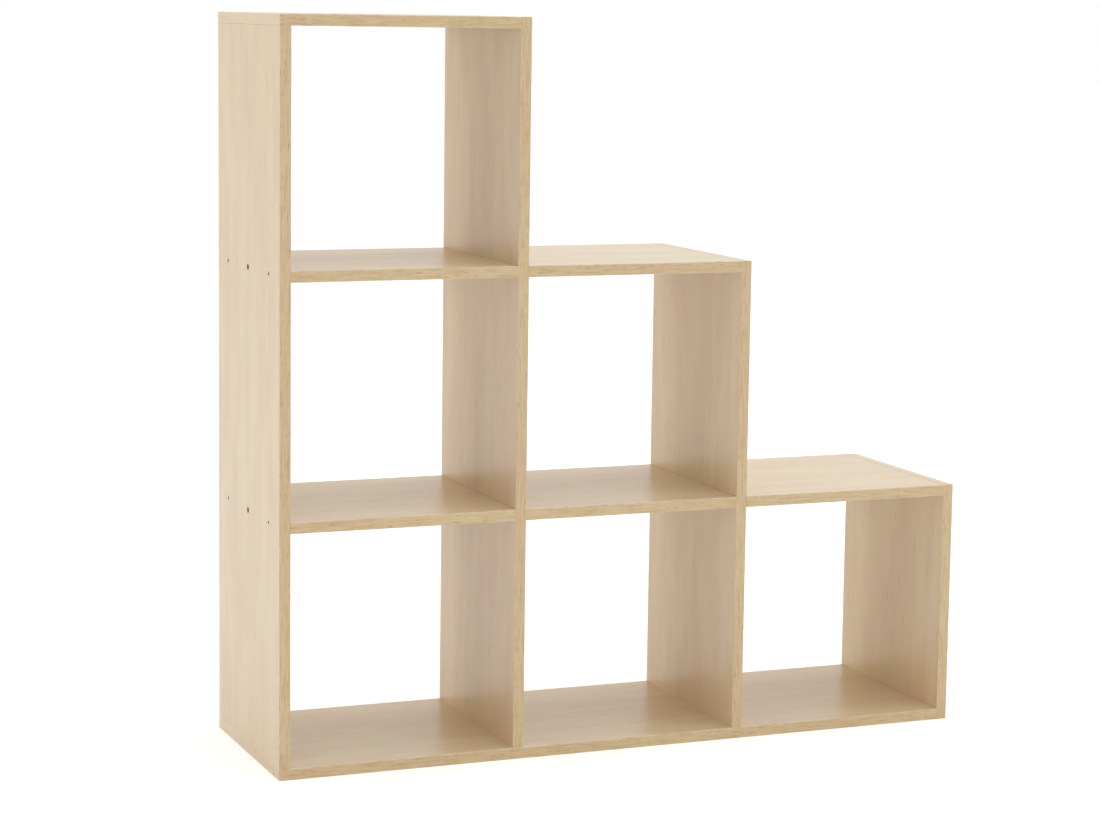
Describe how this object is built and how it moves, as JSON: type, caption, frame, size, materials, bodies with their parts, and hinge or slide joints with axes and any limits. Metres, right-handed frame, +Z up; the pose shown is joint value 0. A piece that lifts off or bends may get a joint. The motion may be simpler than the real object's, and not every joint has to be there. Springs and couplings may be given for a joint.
{
  "type": "staircase bookshelf",
  "caption": "Free-standing staircase bookshelf of pale wood-grain boards: open square cells in columns that step down from left to right, held by countersunk screws and dowels.",
  "frame": {"origin": "on the floor, at the middle of the footprint", "axes": "+X to the right, the way the columns step down, +Y from the front to the back, +Z up"},
  "size_m": [0.975, 0.29, 0.975],
  "materials": {
    "board": "satin",
    "edge_band": "satin",
    "screw": "zinc plated",
    "dowel": "matte"
  },
  "bodies": {
    "root": {"bottom_board": "board", "left_side": "board", "top_board": "board", "tall_divider": "board", "middle_divider": "board", "right_side": "board", "upper_left_shelf": "board", "middle_step_top": "board", "lower_left_shelf": "board", "lower_middle_shelf": "board", "low_step_top": "board", "bottom_board_front_band": "edge_band", "bottom_board_back_band": "edge_band", "left_side_front_band": "edge_band", "left_side_back_band": "edge_band", "top_board_front_band": "edge_band", "top_board_back_band": "edge_band", "tall_divider_front_band": "edge_band", "tall_divider_back_band": "edge_band", "middle_divider_front_band": "edge_band", "middle_divider_back_band": "edge_band", "right_side_front_band": "edge_band", "right_side_back_band": "edge_band", "upper_left_shelf_front_band": "edge_band", "upper_left_shelf_back_band": "edge_band", "middle_step_top_front_band": "edge_band", "middle_step_top_back_band": "edge_band", "lower_left_shelf_front_band": "edge_band", "lower_left_shelf_back_band": "edge_band", "lower_middle_shelf_front_band": "edge_band", "lower_middle_shelf_back_band": "edge_band", "low_step_top_front_band": "edge_band", "low_step_top_back_band": "edge_band", "bottom_board_end_band": "edge_band", "top_board_end_band": "edge_band", "tall_divider_top_band": "edge_band", "middle_divider_top_band": "edge_band", "right_side_top_band": "edge_band", "left_side_screws": "screw", "top_board_screws": "screw", "tall_divider_screws": "screw", "middle_divider_screws": "screw", "right_side_screws": "screw", "bottom_board_screws": "screw", "left_side_dowels": "dowel", "top_board_dowels": "dowel", "tall_divider_dowels": "dowel", "middle_divider_dowels": "dowel", "right_side_dowels": "dowel", "bottom_board_dowels": "dowel", "tall_divider_cross_dowels": "dowel", "middle_divider_cross_dowels": "dowel"}
  },
  "joints": []
}
